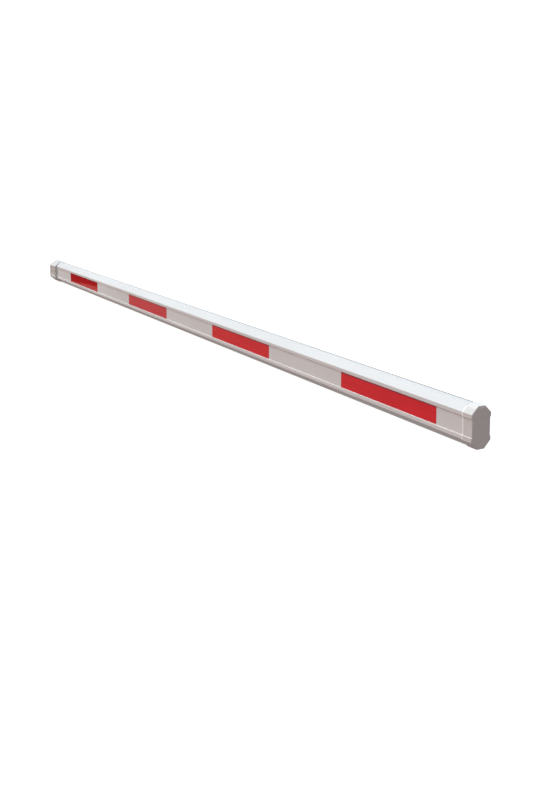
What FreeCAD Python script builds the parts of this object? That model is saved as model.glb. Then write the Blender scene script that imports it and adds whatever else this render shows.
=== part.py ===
# Octagonal boom arm of a parking barrier, as a parametric FreeCAD document.
#
# Frame: millimetres, +X along the arm from its root to its tip, +Z up when the
# arm is closed, -Y the front.  The origin is the middle of the two root bolt
# holes, on the arm's centre line.
import FreeCAD, Part
import Sketcher
import os
import math

V = FreeCAD.Vector
doc = FreeCAD.newDocument("boom_arm")

# ---------------------------------------------------------------- dimensions
TABLE = [
    # the extrusion's section
    ("sect_h", 90.0), ("sect_w", 50.0), ("bevel", 16.0), ("wall", 1.8), ("web", 2.0),
    ("rec_open", 42.0), ("rec_floor", 40.0), ("rec_deep", 2.0), ("edge_round", 1.2),
    ("slot_y", 6.8), ("slot_w", 2.6), ("slot_d", 2.4), ("slot_land", 1.6),
    # along the arm
    ("x_root", -47.0), ("x_tip", 2953.0), ("plug_flange", 3.0), ("end_gap", 0.3),
    # root collar
    ("collar_x1", 37.0), ("collar_side", 9.0), ("collar_top", 2.0), ("collar_z", 28.5), ("collar_flat", 10.0), ("fit_gap", 0.2),
    ("panel_x0", -38.0), ("panel_x1", 29.0), ("panel_h", 37.0), ("panel_d", 2.0), ("panel_slope", 4.0),
    ("collar_round", 1.2),
    # root bolt holes, bushes and liner
    ("bolt_pitch", 40.0), ("bolt_r", 5.5), ("bush_r", 8.0), ("liner_wall", 3.0), ("liner_len", 253.7),
    # set screws
    ("screw_r", 3.0), ("screw_gap", 0.04), ("screw_len", 8.0), ("screw_z", 13.0), ("socket_af", 3.0), ("socket_d", 3.2),
    # tip cap
    ("cap_len", 32.0), ("cap_wall", 1.4), ("cap_face", 3.0), ("cap_lead", 5.0), ("cap_lead_d", 0.7),
    ("cap_round", 1.6), ("spigot_gap", 0.3), ("spigot_wall", 2.0), ("spigot_len", 24.0),
    # root plug
    ("plug_spigot", 13.0), ("plug_inset", 1.0),
    # reflective film
    ("film_x0", 247.0), ("film_len", 370.0), ("film_pitch", 740.0), ("film_h", 39.0), ("film_t", 0.35),
]
sheet = doc.addObject("Spreadsheet::Sheet", "dims")
for row, (alias, value) in enumerate(TABLE, start=1):
    sheet.set("A%d" % row, alias)
    sheet.set("B%d" % row, repr(value))
    sheet.setAlias("B%d" % row, alias)
doc.recompute()


class Q:
    """A length that keeps both its number and its expression in the sheet."""

    def __init__(self, v, e):
        self.v, self.e = float(v), e

    def _two(self, o, sign, f, flip=False):
        o = o if isinstance(o, Q) else Q(o, repr(float(o)))
        a, b = (o, self) if flip else (self, o)
        return Q(f(a.v, b.v), "(%s %s %s)" % (a.e, sign, b.e))

    def __add__(self, o): return self._two(o, "+", lambda a, b: a + b)
    def __radd__(self, o): return self._two(o, "+", lambda a, b: a + b, True)
    def __sub__(self, o): return self._two(o, "-", lambda a, b: a - b)
    def __rsub__(self, o): return self._two(o, "-", lambda a, b: a - b, True)
    def __mul__(self, o): return self._two(o, "*", lambda a, b: a * b)
    def __rmul__(self, o): return self._two(o, "*", lambda a, b: a * b, True)
    def __truediv__(self, o): return self._two(o, "/", lambda a, b: a / b)
    def __neg__(self): return 0.0 - self


class D:
    pass


for alias, value in TABLE:
    setattr(D, alias, Q(value, "dims." + alias))

TAN = 0.41421356          # tan 22.5 deg: how far an octagon's corner moves per unit of offset


# ------------------------------------------------------------------- helpers
def plane(body, role):
    for f in body.Origin.OriginFeatures:
        if f.Role == role:
            return f
    raise RuntimeError("no plane " + role)


def new_body(label):
    b = doc.addObject("PartDesign::Body", label)
    b.Label = label
    return b


def new_sketch(body, name, role, off):
    s = body.newObject("Sketcher::SketchObject", name)
    s.AttachmentSupport = [(plane(body, role), "")]
    s.MapMode = "FlatFace"
    s.AttachmentOffset = FreeCAD.Placement(V(0, 0, off.v), FreeCAD.Rotation())
    s.setExpression("AttachmentOffset.Base.z", off.e)
    return s


def bind(s, index, q):
    s.setExpression("Constraints[%d]" % index, q.e)


def polygon(s, pts):
    """Closed polygon, each corner held at its own bound distances from the origin."""
    first = s.GeometryCount
    n = len(pts)
    for i in range(n):
        a, b = pts[i], pts[(i + 1) % n]
        s.addGeometry(Part.LineSegment(V(a[0].v, a[1].v, 0), V(b[0].v, b[1].v, 0)), False)
    for i in range(n):
        s.addConstraint(Sketcher.Constraint("Coincident", first + i, 2, first + (i + 1) % n, 1))
    for i, (a, b) in enumerate(pts):
        k = s.addConstraint(Sketcher.Constraint("DistanceX", -1, 1, first + i, 1, a.v))
        bind(s, k, a)
        k = s.addConstraint(Sketcher.Constraint("DistanceY", -1, 1, first + i, 1, b.v))
        bind(s, k, b)


def circle(s, cx, cy, r):
    g = s.addGeometry(Part.Circle(V(cx.v, cy.v, 0), V(0, 0, 1), r.v), False)
    if abs(cx.v) < 1e-9:
        s.addConstraint(Sketcher.Constraint("PointOnObject", g, 3, -2))
    else:
        bind(s, s.addConstraint(Sketcher.Constraint("DistanceX", -1, 1, g, 3, cx.v)), cx)
    if abs(cy.v) < 1e-9:
        s.addConstraint(Sketcher.Constraint("PointOnObject", g, 3, -1))
    else:
        bind(s, s.addConstraint(Sketcher.Constraint("DistanceY", -1, 1, g, 3, cy.v)), cy)
    bind(s, s.addConstraint(Sketcher.Constraint("Radius", g, r.v)), r)


def pad(body, s, name, length):
    p = body.newObject("PartDesign::Pad", name)
    p.Profile = s
    p.Length = length.v
    p.setExpression("Length", length.e)
    body.Tip = p
    doc.recompute()
    return p


def pocket(body, s, name, length, reverse=False):
    """A pocket of a given depth; its volume is compared so that it can't miss."""
    before = body.Shape.Volume
    p = body.newObject("PartDesign::Pocket", name)
    p.Profile = s
    p.Length = length.v
    p.setExpression("Length", length.e)
    p.Reversed = reverse
    body.Tip = p
    doc.recompute()
    if not body.Shape.Volume < before - 1e-3:
        raise RuntimeError("pocket %s cut nothing" % name)
    return p


def fillet(body, name, radius, pick):
    base = body.Tip
    edges = ["Edge%d" % (i + 1) for i, e in enumerate(base.Shape.Edges) if pick(e)]
    if not edges:
        raise RuntimeError("no edges for " + name)
    f = body.newObject("PartDesign::Fillet", name)
    f.Base = (base, edges)
    f.Radius = radius.v
    f.setExpression("Radius", radius.e)
    body.Tip = f
    doc.recompute()
    return f


# half-section corner values of the profile and of its offsets
def octagon(off_side, off_top, recess=True, off_rec=None):
    """Outline of the octagon pushed out by off_side on the sides and off_top on
    top and bottom, its bevels by the mean, with the side recess following it."""
    hw = D.sect_w / 2 + off_side
    hh = D.sect_h / 2 + off_top
    # the bevel's line is y + z = const on the upper back side
    const = D.sect_w / 2 + D.sect_h / 2 - D.bevel + (off_side + off_top) * 0.70710678
    zs = const - hw            # where the side ends
    yt = const - hh            # where the top flat ends
    if not recess:
        quarter = [(hw, zs), (yt, hh)]
    else:
        r = off_side if off_rec is None else off_rec
        zo = D.rec_open / 2 - r * TAN
        zf = D.rec_floor / 2 - r * TAN
        quarter = [(hw - D.rec_deep, zf), (hw, zo), (hw, zs), (yt, hh)]
    up_r = quarter
    up_l = [(-a, b) for a, b in reversed(quarter)]
    lo_l = [(-a, -b) for a, b in quarter]
    lo_r = [(a, -b) for a, b in reversed(quarter)]
    return up_r + up_l + lo_l + lo_r


def collar_outline(inset):
    """The collar's octagon: side faces well clear of the profile, top and bottom
    flats close to it, and shallow slanted faces between them."""
    y1 = D.sect_w / 2 + D.collar_side - inset
    z1 = D.collar_z - inset * 0.5
    y2 = D.collar_flat - inset * 0.5
    z2 = D.sect_h / 2 + D.collar_top - inset
    return [(y1, z1), (y2, z2), (-y2, z2), (-y1, z1), (-y1, -z1), (-y2, -z2), (y2, -z2), (y1, -z1)]


def along_x(e, min_len=5.0):
    if len(e.Vertexes) != 2:
        return False
    d = e.Vertexes[1].Point - e.Vertexes[0].Point
    return d.Length > min_len and abs(abs(d.x) - d.Length) < 1e-4


ZERO = Q(0.0, "0.0")

# -------------------------------------------------------------- boom profile
# One extrusion: an octagonal tube with a shallow recess along each side for the
# film and two webs that make three chambers.
profile = new_body("boom_profile")
px0 = D.x_root + D.plug_flange + D.end_gap
px1 = D.x_tip - D.cap_face - D.end_gap
sk = new_sketch(profile, "profile_section", "YZ_Plane", px0)
polygon(sk, octagon(ZERO, ZERO))
inner_w = D.sect_w / 2 - D.rec_deep - D.wall
polygon(sk, [(inner_w, D.rec_floor / 2), (-inner_w, D.rec_floor / 2),
             (-inner_w, -D.rec_floor / 2), (inner_w, -D.rec_floor / 2)])
iw = D.sect_w / 2 - D.wall
ih = D.sect_h / 2 - D.wall
iz0 = D.rec_floor / 2 + D.web
iz1 = D.sect_h / 2 - D.bevel - D.wall * TAN
iy1 = D.sect_w / 2 - D.bevel - D.wall * TAN
# the wall is thick round the slot at the back edge of the top and bottom flats
tz = D.sect_h / 2 - D.slot_d - D.slot_land                     # underside of the thick corner
tb = iw + iz1 - tz                                             # where it meets the bevel's inside
ta = D.slot_y - D.slot_w / 2 - D.slot_land
polygon(sk, [(iw, iz0), (iw, iz1), (tb, tz), (ta, tz), (ta, ih), (-iy1, ih), (-iw, iz1), (-iw, iz0)])
polygon(sk, [(iw, -iz0), (-iw, -iz0), (-iw, -iz1), (-iy1, -ih), (ta, -ih), (ta, -tz), (tb, -tz), (iw, -iz1)])
pad(profile, sk, "profile_extrusion", px1 - px0)


def outer_edge(e):
    """The eight long outer corners of the octagon."""
    if not along_x(e):
        return False
    p = e.Vertexes[0].Point
    y, z = abs(p.y), abs(p.z)
    hw, hh, b = D.sect_w.v / 2, D.sect_h.v / 2, D.bevel.v
    return (abs(y - hw) < 0.01 and abs(z - (hh - b)) < 0.01) or (abs(z - hh) < 0.01 and abs(y - (hw - b)) < 0.01)


fillet(profile, "profile_corners", D.edge_round, outer_edge)


def recess_edge(e):
    if not along_x(e):
        return False
    p = e.Vertexes[0].Point
    return abs(abs(p.y) - D.sect_w.v / 2) < 0.01 and abs(abs(p.z) - D.rec_open.v / 2) < 0.01


fillet(profile, "profile_lips", D.edge_round / 2, recess_edge)

# narrow slots along the back edges of the top and bottom flats
sk = new_sketch(profile, "slot_section", "YZ_Plane", px0)
g0, g1 = D.slot_y - D.slot_w / 2, D.slot_y + D.slot_w / 2
for sgn in (1, -1):
    lo = (D.sect_h / 2 - D.slot_d) * sgn
    hi = (D.sect_h / 2 + 1.0) * sgn
    polygon(sk, [(g0, lo), (g1, lo), (g1, hi), (g0, hi)])
pocket(profile, sk, "edge_slots", px1 - px0, reverse=True)

# bolt holes through the two side walls of the root
sk = new_sketch(profile, "profile_bolt_holes", "XZ_Plane", -D.sect_w)
circle(sk, D.bolt_pitch / 2, ZERO, D.bolt_r)
circle(sk, -D.bolt_pitch / 2, ZERO, D.bolt_r)
pocket(profile, sk, "profile_bolts", D.sect_w * 2, reverse=True)

# --------------------------------------------------------------- root liner
# Rectangular tube in the middle chamber, so that the bolts can be tightened.
liner = new_body("root_liner")
lw = inner_w - D.fit_gap
lh = D.rec_floor / 2 - D.fit_gap
liw, lih = lw - D.liner_wall, lh - D.liner_wall
sk = new_sketch(liner, "liner_section", "YZ_Plane", px0)
polygon(sk, [(lw, lh), (-lw, lh), (-lw, -lh), (lw, -lh)])
polygon(sk, [(liw, lih), (-liw, lih), (-liw, -lih), (liw, -lih)])
pad(liner, sk, "liner_extrusion", D.liner_len)
fillet(liner, "liner_corners", D.liner_wall / 2,
       lambda e: along_x(e) and abs(abs(e.Vertexes[0].Point.y) - lw.v) < 0.01)
sk = new_sketch(liner, "liner_bolt_holes", "XZ_Plane", -D.sect_w)
circle(sk, D.bolt_pitch / 2, ZERO, D.bolt_r)
circle(sk, -D.bolt_pitch / 2, ZERO, D.bolt_r)
pocket(liner, sk, "liner_bolts", D.sect_w * 2, reverse=True)

# ------------------------------------------------------------- crush bushes
# Two steel bushes between the liner's side walls, one round each bolt hole.
bushes = []
for k, sgn in enumerate((1, -1)):
    outer = doc.addObject("Part::Cylinder", "bush_outer_%d" % k)
    inner = doc.addObject("Part::Cylinder", "bush_inner_%d" % k)
    for c, r in ((outer, D.bush_r), (inner, D.bolt_r)):
        c.setExpression("Radius", r.e)
        c.setExpression("Height", (liw * 2).e)
        c.Placement = FreeCAD.Placement(V(sgn * D.bolt_pitch.v / 2, -liw.v, 0), FreeCAD.Rotation(V(1, 0, 0), -90))
        c.setExpression("Placement.Base.x", (D.bolt_pitch / 2 * sgn).e)
        c.setExpression("Placement.Base.y", (-liw).e)
    cut = doc.addObject("Part::Cut", "bush_%d" % k)
    cut.Base, cut.Tool = outer, inner
    bushes.append(cut)
bush_group = doc.addObject("Part::Compound", "crush_bushes")
bush_group.Label = "crush_bushes"
bush_group.Links = bushes
doc.recompute()

# -------------------------------------------------------------- root collar
# Thick octagonal collar over the root, with a recessed panel on each side that
# the bolts pass through.
collar = new_body("root_collar")
cx0 = D.x_root + D.plug_flange
sk = new_sketch(collar, "collar_section", "YZ_Plane", cx0)
polygon(sk, collar_outline(ZERO))
pad(collar, sk, "collar_block", D.collar_x1 - cx0)
fillet(collar, "collar_corners", D.collar_round, lambda e: along_x(e))
fillet(collar, "collar_end_edges", D.collar_round,
       lambda e: all(abs(v.Point.x - cx0.v) < 0.01 for v in e.Vertexes)
       or all(abs(v.Point.x - D.collar_x1.v) < 0.01 for v in e.Vertexes))
sk = new_sketch(collar, "collar_bore", "YZ_Plane", cx0)
polygon(sk, octagon(D.fit_gap, D.fit_gap))
pocket(collar, sk, "collar_opening", D.collar_x1 - cx0, reverse=True)

# recessed panels, a sloped frustum sunk into each side
ph, pd = D.panel_h / 2, D.panel_d
for side, sgn in (("front", -1), ("back", 1)):
    face = (D.sect_w / 2 + D.collar_side) * sgn
    outs, ins = D.panel_slope, ZERO
    loops = []
    # the XZ plane's normal is -Y, so an offset of -y puts the sketch at y
    for nm, depth, grow in (("mouth", Q(-0.5, "-0.5"), 1.0), ("floor", pd, 0.0)):
        y = face - depth * sgn
        s = new_sketch(collar, "panel_%s_%s" % (side, nm), "XZ_Plane", -y)
        gr = D.panel_slope * grow * ((pd.v + 0.5) / pd.v if grow else 1.0)
        polygon(s, [(D.panel_x0 - gr * 0.5, -ph - gr * 0.5), (D.panel_x1 + gr * 0.5, -ph - gr * 0.5),
                    (D.panel_x1 + gr * 0.5, ph + gr * 0.5), (D.panel_x0 - gr * 0.5, ph + gr * 0.5)])
        loops.append(s)
    before = collar.Shape.Volume
    lo = collar.newObject("PartDesign::SubtractiveLoft", "panel_" + side)
    lo.Profile = loops[0]
    lo.Sections = [loops[1]]
    lo.Ruled = True
    collar.Tip = lo
    doc.recompute()
    if not collar.Shape.Volume < before - 100:
        raise RuntimeError("panel cut nothing: " + side)

sk = new_sketch(collar, "collar_bolt_holes", "XZ_Plane", -(D.sect_w * 2))
circle(sk, D.bolt_pitch / 2, ZERO, D.bolt_r)
circle(sk, -D.bolt_pitch / 2, ZERO, D.bolt_r)
pocket(collar, sk, "collar_bolts", D.sect_w * 4, reverse=True)

# two tapped holes for the set screws, in the back panel only
sk = new_sketch(collar, "collar_screw_holes", "XZ_Plane", -(D.sect_w * 2))
circle(sk, ZERO, D.screw_z, D.screw_r)
circle(sk, ZERO, -D.screw_z, D.screw_r)
pocket(collar, sk, "collar_screws", D.sect_w * 2 - 10.0, reverse=True)

# -------------------------------------------------------- collar set screws
# Socket set screws: a plain shank for the thread, a cone point and a hex socket.
seat_y = D.sect_w / 2 - D.rec_deep          # they bear on the recess floor
screws = []
for k, sgn in enumerate((1, -1)):
    shank = doc.addObject("Part::Cylinder", "screw_shank_%d" % k)
    tip = doc.addObject("Part::Cone", "screw_tip_%d" % k)
    hexa = doc.addObject("Part::Prism", "screw_socket_%d" % k)
    shank.setExpression("Radius", (D.screw_r - D.screw_gap).e)
    shank.setExpression("Height", (D.screw_len - 1.2).e)
    tip.setExpression("Radius1", (D.screw_r * 0.55).e)
    tip.setExpression("Radius2", (D.screw_r - D.screw_gap).e)
    tip.Height = 1.2
    hexa.Polygon = 6
    hexa.setExpression("Circumradius", (D.socket_af / 1.7320508).e)
    hexa.setExpression("Height", (D.socket_d + 1.0).e)
    rot = FreeCAD.Rotation(V(1, 0, 0), -90)
    for o, y in ((tip, seat_y), (shank, seat_y + 1.2), (hexa, seat_y + D.screw_len - D.socket_d)):
        o.Placement = FreeCAD.Placement(V(0, y.v, sgn * D.screw_z.v), rot)
        o.setExpression("Placement.Base.y", y.e)
        o.setExpression("Placement.Base.z", (D.screw_z * sgn).e)
    fuse = doc.addObject("Part::Fuse", "screw_solid_%d" % k)
    fuse.Base, fuse.Tool = shank, tip
    fuse.Refine = True
    cut = doc.addObject("Part::Cut", "screw_%d" % k)
    cut.Base, cut.Tool = fuse, hexa
    screws.append(cut)
screw_group = doc.addObject("Part::Compound", "collar_set_screws")
screw_group.Label = "collar_set_screws"
screw_group.Links = screws
doc.recompute()

# ---------------------------------------------------------------- root plug
# Moulded plug: a flange over the collar's end and a hollow spigot in the liner.
plug = new_body("root_plug")
sk = new_sketch(plug, "plug_flange_outline", "YZ_Plane", D.x_root)
polygon(sk, collar_outline(D.plug_inset))
pad(plug, sk, "plug_flange_plate", D.plug_flange)
fillet(plug, "plug_corners", D.collar_round, lambda e: along_x(e, 1.0))
fillet(plug, "plug_edge", D.plug_flange / 3,
       lambda e: all(abs(v.Point.x - D.x_root.v) < 0.01 for v in e.Vertexes))
sw, sh = liw - D.spigot_gap, lih - D.spigot_gap
sk = new_sketch(plug, "plug_spigot_section", "YZ_Plane", D.x_root + D.plug_flange)
polygon(sk, [(sw, sh), (-sw, sh), (-sw, -sh), (sw, -sh)])
w2 = D.spigot_wall
polygon(sk, [(sw - w2, sh - w2), (-(sw - w2), sh - w2), (-(sw - w2), w2 / 2), (sw - w2, w2 / 2)])
polygon(sk, [(sw - w2, -w2 / 2), (-(sw - w2), -w2 / 2), (-(sw - w2), -(sh - w2)), (sw - w2, -(sh - w2))])
pad(plug, sk, "plug_spigot_walls", D.plug_spigot)

# ------------------------------------------------------------------ tip cap
# Moulded cap: a sleeve that follows the profile outside, a thick end face and a
# hollow spigot in the middle chamber.  Its open edge is a long shallow lead.
cap = new_body("tip_cap")
kx0 = D.x_tip - D.cap_len
sk = new_sketch(cap, "cap_outline", "YZ_Plane", kx0 + D.cap_lead)
polygon(sk, octagon(D.cap_wall, D.cap_wall))
pad(cap, sk, "cap_block", D.cap_len - D.cap_lead)
thin = D.cap_wall - D.cap_lead_d
s1 = new_sketch(cap, "cap_lead_start", "YZ_Plane", kx0 + D.cap_lead)
polygon(s1, octagon(D.cap_wall, D.cap_wall))
s2 = new_sketch(cap, "cap_lead_end", "YZ_Plane", kx0)
polygon(s2, octagon(thin, thin))
lo = cap.newObject("PartDesign::AdditiveLoft", "cap_lead_taper")
lo.Profile = s1
lo.Sections = [s2]
lo.Ruled = True
cap.Tip = lo
doc.recompute()
fillet(cap, "cap_end_round", D.cap_round,
       lambda e: all(abs(v.Point.x - D.x_tip.v) < 0.01 for v in e.Vertexes))
sk = new_sketch(cap, "cap_bore", "YZ_Plane", kx0)
polygon(sk, octagon(D.fit_gap, D.fit_gap))
pocket(cap, sk, "cap_socket", D.cap_len - D.cap_face, reverse=True)
sk = new_sketch(cap, "cap_spigot_section", "YZ_Plane", D.x_tip - D.cap_face - D.spigot_len)
gw, gh = inner_w - D.spigot_gap, D.rec_floor / 2 - D.spigot_gap
polygon(sk, [(gw, gh), (-gw, gh), (-gw, -gh), (gw, -gh)])
polygon(sk, [(gw - w2, gh - w2), (-(gw - w2), gh - w2), (-(gw - w2), w2 / 2), (gw - w2, w2 / 2)])
polygon(sk, [(gw - w2, -w2 / 2), (-(gw - w2), -w2 / 2), (-(gw - w2), -(gh - w2)), (gw - w2, -(gh - w2))])
pad(cap, sk, "cap_spigot", D.spigot_len)

# ---------------------------------------------------------- reflective film
# Four red strips along the recess floor on each side.
films = []
for side, sgn in (("front", -1), ("back", 1)):
    for i in range(4):
        film = new_body("red_film_%s_%d" % (side, i + 1))
        fx = D.film_x0 + D.film_pitch * float(i)
        floor = D.sect_w / 2 - D.rec_deep
        y0, y1 = floor * sgn, (floor + D.film_t) * sgn
        sk = new_sketch(film, "film_section_%s_%d" % (side, i + 1), "YZ_Plane", fx)
        polygon(sk, [(y0, -D.film_h / 2), (y1, -D.film_h / 2), (y1, D.film_h / 2), (y0, D.film_h / 2)])
        pad(film, sk, "film_strip_%s_%d" % (side, i + 1), D.film_len)
        films.append(film)

# ------------------------------------------------------------------- output
nodes = [profile, liner, bush_group, collar, screw_group, plug, cap] + films
doc.recompute()
bad = []
for o in doc.Objects:
    if "Invalid" in o.State or "Error" in o.State:
        bad.append("%s: %s" % (o.Name, o.State))
for o in nodes:
    if o.Shape.isNull() or not o.Shape.isValid() or o.Shape.Volume <= 0:
        bad.append("shape of " + o.Label)
if bad:
    raise RuntimeError("; ".join(bad))
os.makedirs("parts", exist_ok=True)
for o in nodes:
    o.Shape.exportStep("parts/%s.step" % o.Label)
    bb = o.Shape.BoundBox
    print("%-20s solids %d  vol %.1f  x %.2f..%.2f y %.2f..%.2f z %.2f..%.2f" % (
        o.Label, len(o.Shape.Solids), o.Shape.Volume, bb.XMin, bb.XMax, bb.YMin, bb.YMax, bb.ZMin, bb.ZMax))
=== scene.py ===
# Looks of the barrier boom arm: camera, light, floor and a procedural material for
# every piece.  Metres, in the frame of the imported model.
import math
import bpy
import bmesh
from mathutils import Matrix, Vector


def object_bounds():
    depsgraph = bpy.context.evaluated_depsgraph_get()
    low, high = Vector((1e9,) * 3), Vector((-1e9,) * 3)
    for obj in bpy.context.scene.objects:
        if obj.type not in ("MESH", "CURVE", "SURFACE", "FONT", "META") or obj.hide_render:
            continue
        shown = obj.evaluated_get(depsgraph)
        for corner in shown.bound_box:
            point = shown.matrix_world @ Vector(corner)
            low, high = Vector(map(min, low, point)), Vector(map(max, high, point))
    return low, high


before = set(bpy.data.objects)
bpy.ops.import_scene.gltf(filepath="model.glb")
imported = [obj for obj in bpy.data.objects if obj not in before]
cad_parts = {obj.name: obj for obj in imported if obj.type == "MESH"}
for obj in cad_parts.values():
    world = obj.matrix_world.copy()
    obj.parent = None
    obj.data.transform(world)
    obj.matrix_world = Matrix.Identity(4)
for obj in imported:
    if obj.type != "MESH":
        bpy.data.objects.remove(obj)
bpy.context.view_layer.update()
sc = bpy.context.scene

# ------------------------------------------------------------------ camera
cam_data = bpy.data.cameras.new("view_camera")
cam = bpy.data.objects.new("view_camera", cam_data)
sc.collection.objects.link(cam)
sc.camera = cam
yaw, pitch, roll = (math.radians(a) for a in (150.858, -7.732, 0.0))
fwd = Vector((math.cos(yaw) * math.cos(pitch), math.sin(yaw) * math.cos(pitch), math.sin(pitch)))
right = fwd.cross(Vector((0, 0, 1))).normalized()
up = right.cross(fwd)
r2 = right * math.cos(roll) + up * math.sin(roll)
u2 = up * math.cos(roll) - right * math.sin(roll)
rot = Matrix((r2, u2, -fwd)).transposed().to_4x4()
cam.matrix_world = Matrix.Translation((4.3746, -1.2895, 0.5590)) @ rot
cam_data.sensor_width = 36.0
cam_data.lens = 938.8 * 36.0 / 800.0
cam_data.shift_y = -119.7 / 800.0        # level camera, frame dropped to hold the arm
cam_data.clip_end = 200.0
cam_data.dof.use_dof = False


# --------------------------------------------------------------- node tools
class Net:
    """A small builder of shader node trees."""

    def __init__(self, tree):
        self.t = tree
        self.n = tree.nodes
        self.l = tree.links

    def add(self, kind, **props):
        node = self.n.new(kind)
        for k, v in props.items():
            setattr(node, k, v)
        return node

    def set(self, node, **vals):
        for k, v in vals.items():
            node.inputs[k.replace("_", " ")].default_value = v

    def link(self, a, b):
        self.l.new(a, b)

    def _in(self, socket, value):
        if isinstance(value, bpy.types.NodeSocket):
            self.link(value, socket)
        else:
            socket.default_value = value

    def math(self, op, a, b=None, c=None, clamp=False):
        m = self.add("ShaderNodeMath", operation=op, use_clamp=clamp)
        for i, v in enumerate((a, b, c)):
            if v is not None:
                self._in(m.inputs[i], v)
        return m.outputs[0]

    def mix(self, fac, a, b, kind="RGBA", blend="MIX"):
        m = self.add("ShaderNodeMix", data_type=kind)
        if kind == "RGBA":
            m.blend_type = blend
            self._in(m.inputs[0], fac)
            self._in(m.inputs[6], a)
            self._in(m.inputs[7], b)
            return m.outputs[2]
        self._in(m.inputs[0], fac)
        self._in(m.inputs[2], a)
        self._in(m.inputs[3], b)
        return m.outputs[0]

    def ramp(self, fac, stops, mode="LINEAR"):
        r = self.add("ShaderNodeValToRGB")
        r.color_ramp.interpolation = mode
        e = r.color_ramp.elements
        while len(e) < len(stops):
            e.new(0.5)
        for i, (p, c) in enumerate(stops):
            e[i].position = p
            e[i].color = c if len(c) == 4 else tuple(c) + (1.0,)
        self.link(fac, r.inputs[0])
        return r.outputs[0]

    def remap(self, v, a, b, c, d):
        m = self.add("ShaderNodeMapRange", clamp=True)
        self._in(m.inputs[0], v)
        for i, x in enumerate((a, b, c, d)):
            m.inputs[i + 1].default_value = x
        return m.outputs[0]

    def coords(self, which="Object", scale=(1, 1, 1), loc=(0, 0, 0)):
        tc = self.add("ShaderNodeTexCoord")
        mp = self.add("ShaderNodeMapping")
        mp.inputs["Scale"].default_value = scale
        mp.inputs["Location"].default_value = loc
        self.link(tc.outputs[which], mp.inputs[0])
        return mp.outputs[0]

    def noise(self, vec, scale, detail=2.0, rough=0.5):
        n = self.add("ShaderNodeTexNoise")
        self.link(vec, n.inputs["Vector"])
        n.inputs["Scale"].default_value = scale
        n.inputs["Detail"].default_value = detail
        n.inputs["Roughness"].default_value = rough
        return n.outputs[0]

    def bump(self, height, strength, distance, normal=None):
        b = self.add("ShaderNodeBump")
        b.inputs["Strength"].default_value = strength
        b.inputs["Distance"].default_value = distance
        self.link(height, b.inputs["Height"])
        if normal is not None:
            self.link(normal, b.inputs["Normal"])
        return b.outputs[0]


def new_material(name):
    m = bpy.data.materials.new(name)
    m.use_nodes = True
    m.node_tree.nodes.clear()
    net = Net(m.node_tree)
    out = net.add("ShaderNodeOutputMaterial")
    bsdf = net.add("ShaderNodeBsdfPrincipled")
    net.link(bsdf.outputs[0], out.inputs[0])
    return m, net, bsdf


def grey(v, tint=(1, 1, 1)):
    return (v * tint[0], v * tint[1], v * tint[2], 1.0)


def shade_upright_faces(n, col, tint, x0, x1, x_end):
    """Painted shade: tints the upright faces only darker, building up from x0 to x1, and none
    past x_end."""
    p = n.add("ShaderNodeSeparateXYZ")
    n.link(n.coords(), p.inputs[0])
    k = n.math("MULTIPLY", n.remap(n.math("ABSOLUTE", p.outputs[2]), 0.0285, 0.0300, 1, 0), n.remap(p.outputs[0], x0, x1, 0, 1))
    k = n.math("MULTIPLY", k, n.remap(p.outputs[0], x_end - 0.0004, x_end, 1, 0))
    return n.mix(k, col, tuple(tint) + (1.0,), "RGBA", "MULTIPLY")


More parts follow.
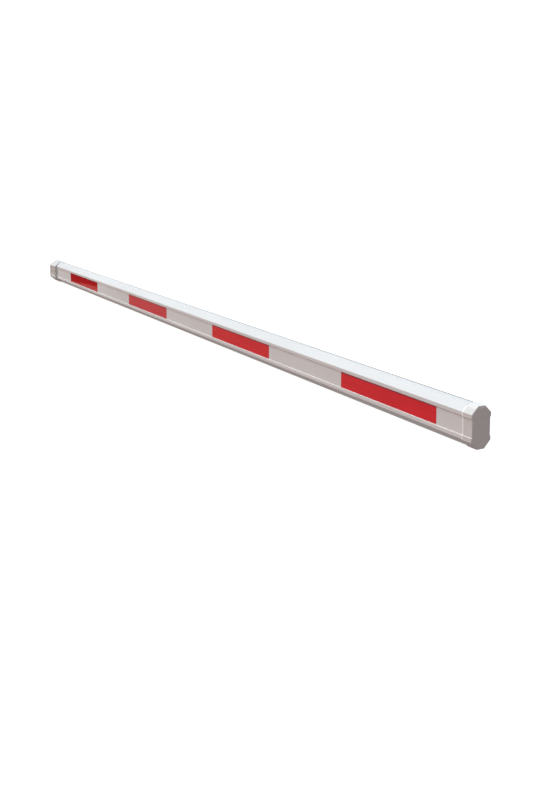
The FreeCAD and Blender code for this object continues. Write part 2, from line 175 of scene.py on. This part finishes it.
def painted(name, base, peel_scale, peel, rough, streaks=0.0, grime=0.05, slot_shade=False, upright_shade_tint=None):
    """Powder-coated metal: orange peel, faint draw lines and handling marks, with optional painted shade in the
    slots, along the back arris and on the upright faces.
    """
    m, n, b = new_material(name)
    obj = n.coords()
    stretched = n.coords(scale=(0.35, 1.0, 1.0))
    cloud = n.noise(stretched, 7.0, 3.0, 0.55)
    speck = n.noise(obj, 950.0, 2.0, 0.6)
    peel_n = n.noise(obj, peel_scale, 2.0, 0.45)
    draw = n.noise(n.coords(scale=(1.2, 420.0, 420.0)), 1.0, 3.0, 0.6)
    dark = tuple(c * (1 - grime) for c in base[:3]) + (1.0,)
    light = tuple(min(1.0, c * 1.02) for c in base[:3]) + (1.0,)
    col = n.mix(n.remap(cloud, 0.30, 0.70, 0, 1), dark, light)
    # a few small handling marks, where two noises peak together
    marks = n.math("MULTIPLY", n.remap(n.noise(n.coords(scale=(14, 60, 60)), 1.0, 4.0, 0.7), 0.62, 0.72, 0, 1),
                   n.remap(n.noise(obj, 9.0, 1.0), 0.52, 0.66, 0, 1))
    col = n.mix(n.math("MULTIPLY", marks, 0.22), col, tuple(c * 0.62 for c in base[:3]) + (1.0,))
    col = n.mix(n.math("MULTIPLY", n.remap(speck, 0.66, 0.74, 0, 1), 0.10), col, tuple(c * 0.7 for c in base[:3]) + (1.0,))
    if slot_shade:
        # painted shade: dark colour inside the two slots, and a painted shaded line along the back arris beside them
        sp = n.add("ShaderNodeSeparateXYZ")
        n.link(n.coords(), sp.inputs[0])
        az = n.math("ABSOLUTE", sp.outputs[2])
        slot_shade_mask = n.math("MULTIPLY", n.math("MULTIPLY", n.math("GREATER_THAN", sp.outputs[1], 0.0054),
                                           n.math("LESS_THAN", sp.outputs[1], 0.0082)), n.remap(az, 0.0447, 0.0449, 1, 0))
        slot_shade_mask = n.math("MULTIPLY", slot_shade_mask, n.math("GREATER_THAN", az, 0.0424))
        arris_shade_mask = n.math("MULTIPLY", n.remap(sp.outputs[1], 0.0080, 0.0084, 0, 1), n.math("GREATER_THAN", az, 0.0435))
        col = n.mix(slot_shade_mask, col, (0.13, 0.125, 0.12, 1))
        col = n.mix(n.math("MULTIPLY", arris_shade_mask, 0.75), col, (0.39, 0.35, 0.32, 1))
    # painted shade on the upright faces
    if upright_shade_tint:
        col = shade_upright_faces(n, col, *upright_shade_tint)
    n.link(col, b.inputs["Base Color"])
    r = n.math("ADD", n.remap(cloud, 0.3, 0.7, rough - 0.05, rough + 0.05), n.math("MULTIPLY", marks, 0.18))
    n.link(r, b.inputs["Roughness"])
    nrm = n.bump(peel_n, peel, 0.0004)
    if streaks:
        nrm = n.bump(draw, streaks, 0.0002, nrm)
    n.link(nrm, b.inputs["Normal"])
    b.inputs["Coat Weight"].default_value = 0.08
    b.inputs["Coat Roughness"].default_value = 0.22
    b.inputs["Specular IOR Level"].default_value = 0.5
    return m


def moulded(name, base, grain=0.35, rough=0.5, rim_highlight_x=None, upright_shade_tint=None):
    """Moulded plastic: fine spark-eroded grain, soft flow marks, slight yellowing, scuffs, with an optional painted
    highlight at the open edge, a painted lighter top and painted shade on the upright faces.
    """
    m, n, b = new_material(name)
    obj = n.coords()
    flow = n.noise(n.coords(scale=(3.0, 9.0, 9.0)), 2.2, 4.0, 0.6)
    grain_n = n.noise(obj, 1500.0, 3.0, 0.65)
    vor = n.add("ShaderNodeTexVoronoi")
    n.link(obj, vor.inputs["Vector"])
    vor.inputs["Scale"].default_value = 900.0
    col = n.mix(n.remap(flow, 0.3, 0.7, 0, 1), tuple(c * 0.955 for c in base[:3]) + (1.0,), base)
    if rim_highlight_x:
        # painted highlight: a pale band at the open edge on the upright faces, and the top above z 40 mm, past that
        # band, painted lighter as painted light
        lx = n.add("ShaderNodeSeparateXYZ")
        n.link(n.coords(), lx.inputs[0])
        lit_top_mask = n.remap(lx.outputs[2], 0.0395, 0.0415, 0, 1)
        rim_highlight_mask = n.remap(lx.outputs[0], rim_highlight_x - 0.0004, rim_highlight_x + 0.0004, 1, 0)
        col = n.mix(n.math("MULTIPLY", rim_highlight_mask, n.math("SUBTRACT", 1.0, lit_top_mask)), col, (0.90, 0.885, 0.875, 1))
        col = n.mix(n.math("MULTIPLY", lit_top_mask, n.math("SUBTRACT", 1.0, rim_highlight_mask)), col, (0.815, 0.80, 0.79, 1))
    scuff = n.math("MULTIPLY", n.remap(n.noise(n.coords(scale=(40, 200, 30)), 1.0, 3.0, 0.7), 0.60, 0.70, 0, 1),
                   n.remap(n.noise(obj, 30.0, 1.0), 0.5, 0.65, 0, 1))
    col = n.mix(n.math("MULTIPLY", scuff, 0.25), col, tuple(c * 0.7 for c in base[:3]) + (1.0,))
    # painted shade on the upright faces
    if upright_shade_tint:
        col = shade_upright_faces(n, col, *upright_shade_tint)
    n.link(col, b.inputs["Base Color"])
    n.link(n.math("ADD", n.remap(grain_n, 0.3, 0.7, rough - 0.05, rough + 0.06), n.math("MULTIPLY", scuff, 0.15)), b.inputs["Roughness"])
    nrm = n.bump(n.math("ADD", grain_n, n.math("MULTIPLY", vor.outputs[0], 0.6)), grain, 0.00025)
    n.link(nrm, b.inputs["Normal"])
    b.inputs["Specular IOR Level"].default_value = 0.45
    b.inputs["Subsurface Weight"].default_value = 0.0
    return m


def metal(name, base, rough, line_scale, strength, dark=0.85):
    """Bare metal with drawn or turned lines."""
    m, n, b = new_material(name)
    lines = n.noise(n.coords(scale=line_scale), 1.0, 4.0, 0.65)
    cloud = n.noise(n.coords(), 35.0, 3.0)
    n.link(n.mix(n.remap(lines, 0.35, 0.65, 0, 1), tuple(c * dark for c in base[:3]) + (1.0,), base), b.inputs["Base Color"])
    n.link(n.math("ADD", n.remap(lines, 0.3, 0.7, rough - 0.08, rough + 0.08), n.remap(cloud, 0.3, 0.7, -0.05, 0.05)), b.inputs["Roughness"])
    b.inputs["Metallic"].default_value = 1.0
    n.link(n.bump(lines, strength, 0.0001), b.inputs["Normal"])
    return m


def film_material(name, base, reflection_split=None, rough=0.22):
    """Red reflective sheeting: honeycomb of sealed cells under a clear glossy face,
    with a paler sealed margin all round.  An optional slanting boundary paints the colour
    darker and turns the specular down above it, so the part below it carries a painted reflection."""
    m, n, b = new_material(name)
    tc = n.add("ShaderNodeTexCoord")
    sep = n.add("ShaderNodeSeparateXYZ")
    n.link(tc.outputs["Object"], sep.inputs[0])
    x, z = sep.outputs[0], sep.outputs[2]
    cell = 0.0042                      # across the flats
    rx, rz = cell, cell * 1.7320508

    def wrapped(v, size, shift):
        w = n.math("FLOORED_MODULO", n.math("ADD", v, shift), size)
        return n.math("SUBTRACT", w, size / 2)

    ax, az = wrapped(x, rx, 0.0), wrapped(z, rz, 0.0)
    bx, bz = wrapped(x, rx, rx / 2), wrapped(z, rz, rz / 2)
    la = n.math("ADD", n.math("MULTIPLY", ax, ax), n.math("MULTIPLY", az, az))
    lb = n.math("ADD", n.math("MULTIPLY", bx, bx), n.math("MULTIPLY", bz, bz))
    near = n.math("LESS_THAN", la, lb)
    gx = n.math("ABSOLUTE", n.mix(near, bx, ax, "FLOAT"))
    gz = n.math("ABSOLUTE", n.mix(near, bz, az, "FLOAT"))
    hexd = n.math("MAXIMUM", gx, n.math("ADD", n.math("MULTIPLY", gx, 0.5), n.math("MULTIPLY", gz, 0.8660254)))
    wall = n.remap(hexd, cell * 0.42, cell * 0.47, 0, 1)       # 1 on the cell walls
    # sealed margin, from the strip's own box: 370 mm long and 39 mm high
    gsep = n.add("ShaderNodeSeparateXYZ")
    n.link(tc.outputs["Generated"], gsep.inputs[0])
    ex = n.math("SUBTRACT", 0.5, n.math("ABSOLUTE", n.math("SUBTRACT", gsep.outputs[0], 0.5)))
    ez = n.math("SUBTRACT", 0.5, n.math("ABSOLUTE", n.math("SUBTRACT", gsep.outputs[2], 0.5)))
    edge = n.math("MINIMUM", n.math("MULTIPLY", ex, 370.0), n.math("MULTIPLY", ez, 39.0))
    margin = n.remap(edge, 0.5, 1.0, 1, 0)
    tone = n.noise(n.coords(scale=(0.8, 1, 5)), 9.0, 3.0, 0.55)
    red_a = tuple(c * 0.94 for c in base[:3]) + (1.0,)
    red_b = tuple(min(1.0, c * 1.05) for c in base[:3]) + (1.0,)
    col = n.mix(n.remap(tone, 0.3, 0.7, 0, 1), red_a, red_b)
    col = n.mix(n.math("MULTIPLY", wall, 0.22), col, (min(1, base[0] * 1.08), base[1] + 0.03, base[2] + 0.03, 1))
    spec = 0.5
    if reflection_split:
        # painted reflection: 0 above the slanting line, 1 below it, where the brighter colour and full specular stay
        t = n.math("SUBTRACT", n.math("MULTIPLY", gsep.outputs[0], reflection_split[0]), gsep.outputs[2])
        t = n.math("ADD", t, n.remap(tone, 0.3, 0.7, -0.05, 0.05))
        reflection_mask = n.remap(t, reflection_split[1] - 0.09, reflection_split[1] + 0.09, 0, 1)
        col = n.mix(reflection_mask, (base[0] * reflection_split[2], base[1] * 0.1, base[2] * 0.5, 1.0), col)
        spec = n.remap(reflection_mask, 0, 1, 0.014, 0.5)
    col = n.mix(n.math("MULTIPLY", margin, 0.18), col, (0.66, 0.30, 0.29, 1))
    # painted shade: a dark band along the upper edge, where the lip shades it
    lip_shade_mask = n.remap(gsep.outputs[2], 0.935, 0.955, 0, 1)
    col = n.mix(n.math("MULTIPLY", lip_shade_mask, 0.8), col, (0.25, 0.010, 0.055, 1))
    n.link(col, b.inputs["Base Color"])
    n.link(n.math("ADD", n.remap(tone, 0.3, 0.7, rough - 0.04, rough + 0.05), n.math("MULTIPLY", wall, 0.06)), b.inputs["Roughness"])
    if reflection_split:
        n.link(spec, b.inputs["Specular IOR Level"])
    else:
        b.inputs["Specular IOR Level"].default_value = spec
    ripple = n.noise(n.coords(scale=(1, 1, 1)), 60.0, 2.0)
    n.link(n.bump(n.math("ADD", n.math("MULTIPLY", wall, -0.6), n.math("MULTIPLY", ripple, 0.5)), 0.16, 0.0002), b.inputs["Normal"])
    return m


# ---------------------------------------------------------------- materials
PAINT = grey(0.77, (1.0, 1.0, 1.0))
# painted shade in the boom's slots and along its back arris
white = painted("white_powder_coat", PAINT, 420.0, 0.10, 0.40, streaks=0.05, slot_shade=True,
                # painted shade: the boom's upright faces darker towards the tip
                upright_shade_tint=((0.965, 0.915, 0.905), 0.6, 2.8, 3.0))
collar_mat = painted("collar_powder_coat", grey(0.70, (1.0, 0.99, 0.975)), 300.0, 0.22, 0.46, grime=0.08,
                     # painted shade: the collar's upright faces darker than its top, the step face left as it is
                     upright_shade_tint=((0.92, 0.895, 0.875), -1.0, -0.9, 0.0366))
# painted highlight at the cap's open edge and a painted lighter top
cap_mat = moulded("cap_moulded_plastic", grey(0.74, (1.0, 0.955, 0.94)), 0.30, 0.48, rim_highlight_x=2.9262,
                  # painted shade: the cap's upright faces darker, its end face left as it is
                  upright_shade_tint=((0.965, 0.935, 0.925), 0.0, 1.0, 2.9518))
plug_mat = moulded("plug_moulded_plastic", grey(0.66, (1.0, 0.99, 0.98)), 0.40, 0.52)
liner_mat = metal("mill_finish_aluminium", (0.80, 0.81, 0.82, 1), 0.38, (2.0, 900.0, 900.0), 0.15)
bush_mat = metal("zinc_plated_steel", (0.70, 0.71, 0.73, 1), 0.32, (900.0, 60.0, 900.0), 0.20)
screw_mat = metal("blackened_steel", (0.07, 0.07, 0.075, 1), 0.42, (1200.0, 300.0, 1200.0), 0.25)
RED = (0.755, 0.0125, 0.024, 1)
films = {
    # strip 1 carries a painted reflection below a slanting line
    "1": film_material("red_sheeting_1", (0.66, 0.016, 0.020, 1), reflection_split=(0.45, -0.05, 0.76)),
    "2": film_material("red_sheeting_2", (0.70, 0.036, 0.056, 1)),
    "3": film_material("red_sheeting_3", RED),
    "4": film_material("red_sheeting_4", RED),
}
use = {"boom_profile": white, "root_collar": collar_mat, "tip_cap": cap_mat, "root_plug": plug_mat,
       "root_liner": liner_mat, "crush_bushes": bush_mat, "collar_set_screws": screw_mat}
for side in ("front", "back"):
    for i in "1234":
        use["red_film_%s_%s" % (side, i)] = films[i]
for node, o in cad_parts.items():
    if len(o.material_slots) == 0:
        o.data.materials.append(use[node])
    for s in o.material_slots:
        s.material = use[node]

# -------------------------------------------------------------------- floor
lo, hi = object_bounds()
bm = bmesh.new()
size, cut = 60.0, 24
bmesh.ops.create_grid(bm, x_segments=cut, y_segments=cut, size=size)
me = bpy.data.meshes.new("floor")
bm.to_mesh(me)
bm.free()
floor = bpy.data.objects.new("floor", me)
floor.location = (1.5, 0, lo.z)
sc.collection.objects.link(floor)
m, n, b = new_material("pale_floor")
n.link(n.mix(n.remap(n.noise(n.coords(), 2.0, 3.0), 0.3, 0.7, 0, 1), (0.20, 0.20, 0.20, 1), (0.22, 0.22, 0.22, 1)), b.inputs["Base Color"])
b.inputs["Roughness"].default_value = 0.9
b.inputs["Specular IOR Level"].default_value = 0.0
b.inputs["Emission Color"].default_value = (1, 1, 1, 1)
b.inputs["Emission Strength"].default_value = 0.93
me.materials.append(m)
floor.visible_diffuse = False
floor.visible_glossy = False

# -------------------------------------------------------------------- light
FILL = [(0.0, (0.189, 0.218, 0.234)), (0.42, (0.205, 0.128, 0.106)), (0.50, (0.470, 0.235, 0.125)),
        (0.60, (0.367, 0.371, 0.382)), (1.0, (0.389, 0.488, 0.575))]
FILL_X = (-1.0, 1.0, 2.0, 0.87)
KEY_DIR = (-0.247, -0.438, 1.0)
KEY_EXP = 8.8
KEY_COL = (3.47, 3.52, 3.40, 1)
world = bpy.data.worlds.new("studio")
sc.world = world
world.use_nodes = True
world.node_tree.nodes.clear()
w = Net(world.node_tree)
wout = w.add("ShaderNodeOutputWorld")
bg = w.add("ShaderNodeBackground")
w.link(bg.outputs[0], wout.inputs[0])
tc = w.add("ShaderNodeTexCoord")
ws = w.add("ShaderNodeSeparateXYZ")
w.link(tc.outputs["Generated"], ws.inputs[0])
zz = w.remap(ws.outputs[2], -1, 1, 0, 1)
# fill: a warm bounce from below and from the sides, cooler from above
fill = w.ramp(zz, FILL)
# less fill from beyond the tip
xs = w.remap(ws.outputs[0], *FILL_X)
scaled = w.add("ShaderNodeVectorMath", operation="SCALE")
w.link(fill, scaled.inputs[0])
w.link(xs, scaled.inputs["Scale"])
fill = scaled.outputs[0]
# key: a wide soft lobe from above, in front and from the root's side
klen = math.sqrt(sum(c * c for c in KEY_DIR))
kd = [c / klen for c in KEY_DIR]
dot = w.math("ADD", w.math("ADD", w.math("MULTIPLY", ws.outputs[0], kd[0]), w.math("MULTIPLY", ws.outputs[1], kd[1])),
             w.math("MULTIPLY", ws.outputs[2], kd[2]))
lobe = w.math("POWER", w.math("MAXIMUM", dot, 0.0), KEY_EXP)
key = w.add("ShaderNodeVectorMath", operation="SCALE")
key.inputs[0].default_value = KEY_COL[:3]
w.link(lobe, key.inputs["Scale"])
total = w.add("ShaderNodeVectorMath", operation="ADD")
w.link(fill, total.inputs[0])
w.link(key.outputs[0], total.inputs[1])
sky = total.outputs[0]
w.link(sky, bg.inputs[0])
bg.inputs[1].default_value = 1.0
white_bg = w.add("ShaderNodeBackground")
white_bg.inputs[0].default_value = (1, 1, 1, 1)
white_bg.inputs[1].default_value = 1.05
lp = w.add("ShaderNodeLightPath")
ms = w.add("ShaderNodeMixShader")
w.link(lp.outputs["Is Camera Ray"], ms.inputs[0])
w.link(bg.outputs[0], ms.inputs[1])
w.link(white_bg.outputs[0], ms.inputs[2])
w.link(ms.outputs[0], wout.inputs[0])


sc.view_settings.view_transform = "Standard"
sc.view_settings.look = "None"
sc.view_settings.exposure = 0.0
sc.view_settings.gamma = 1.0
